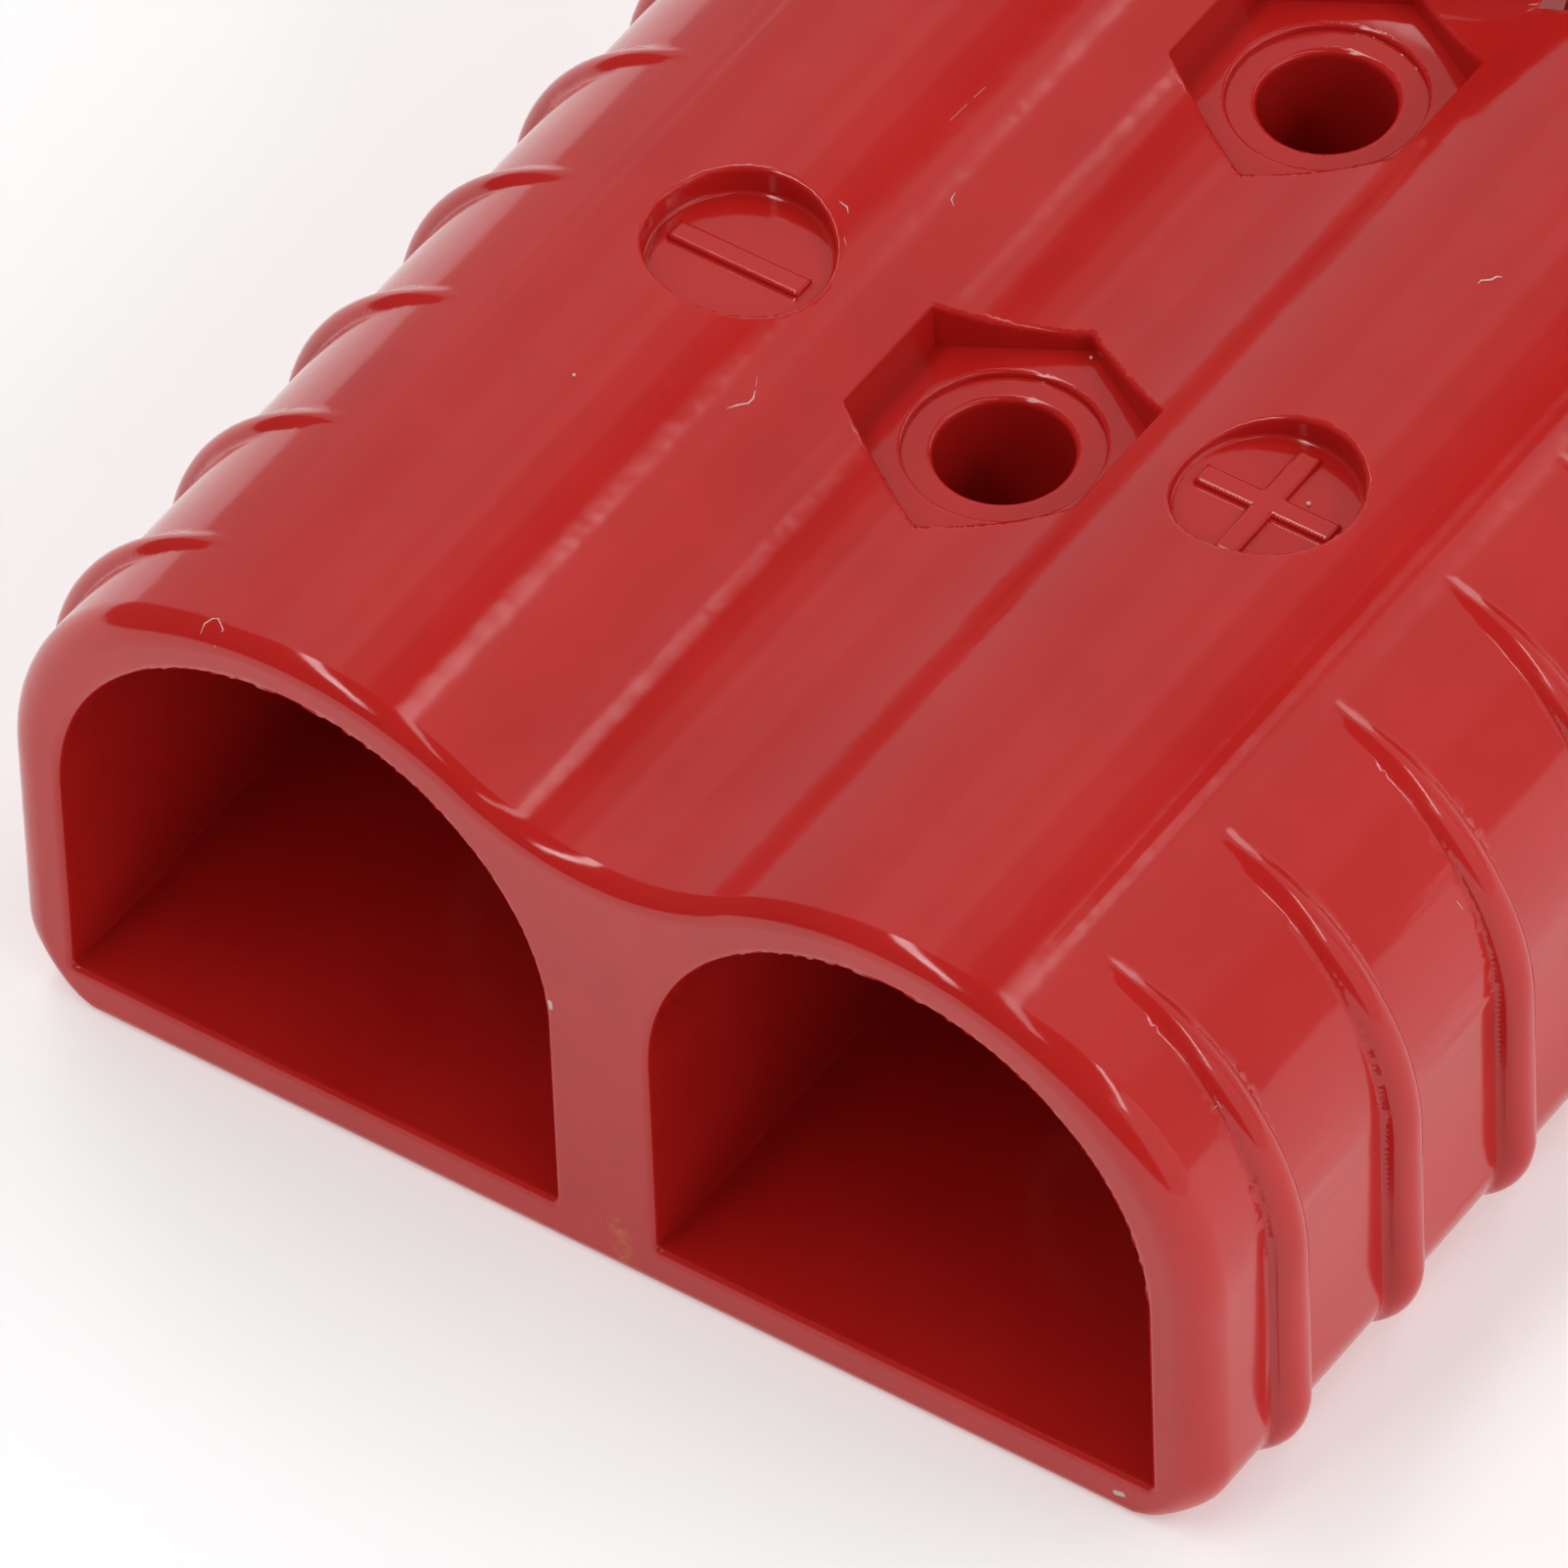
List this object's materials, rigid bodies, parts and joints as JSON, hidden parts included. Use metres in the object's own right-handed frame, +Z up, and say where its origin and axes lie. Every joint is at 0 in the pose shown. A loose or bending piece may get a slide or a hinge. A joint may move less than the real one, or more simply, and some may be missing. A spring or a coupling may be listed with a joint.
{
  "type": "genderless power connector",
  "caption": "Two-pole genderless power connector: moulded red housing with cable tunnels, a hood and tongues at the mating end, and crimp contacts on leaf springs.",
  "frame": {"origin": "middle of the box's underside, on the surface the housing lies on", "axes": "+Y along the length from the cable end to the mating end, +Z up through the top with the polarity marks, +X to the right seen from the cable end"},
  "size_m": [0.0568, 0.0786, 0.0262],
  "materials": {
    "housing": "gloss moulded polycarbonate, red",
    "contact": "silver-plated copper alloy, satin",
    "spring": "rolled stainless strip"
  },
  "bodies": {
    "housing": {"housing": "housing", "leaf_spring_left": "spring", "leaf_spring_right": "spring"},
    "contact_left": {"contact_left": "contact"},
    "contact_right": {"contact_right": "contact"}
  },
  "joints": [
    {"name": "contact_left_float", "type": "hinge", "parent": "housing", "child": "contact_left", "pos_m": [-0.0135, -0.01935, 0.0126], "axis": [1, 0, 0], "range_deg": [-1.7, 0], "stiffness_Nm_per_rad": 0.5, "springref_deg": 6.88, "deforming": ["leaf_spring_left"]},
    {"name": "contact_right_float", "type": "hinge", "parent": "housing", "child": "contact_right", "pos_m": [0.0135, -0.01935, 0.0126], "axis": [1, 0, 0], "range_deg": [-1.7, 0], "stiffness_Nm_per_rad": 0.5, "springref_deg": 6.88, "deforming": ["leaf_spring_right"]}
  ]
}
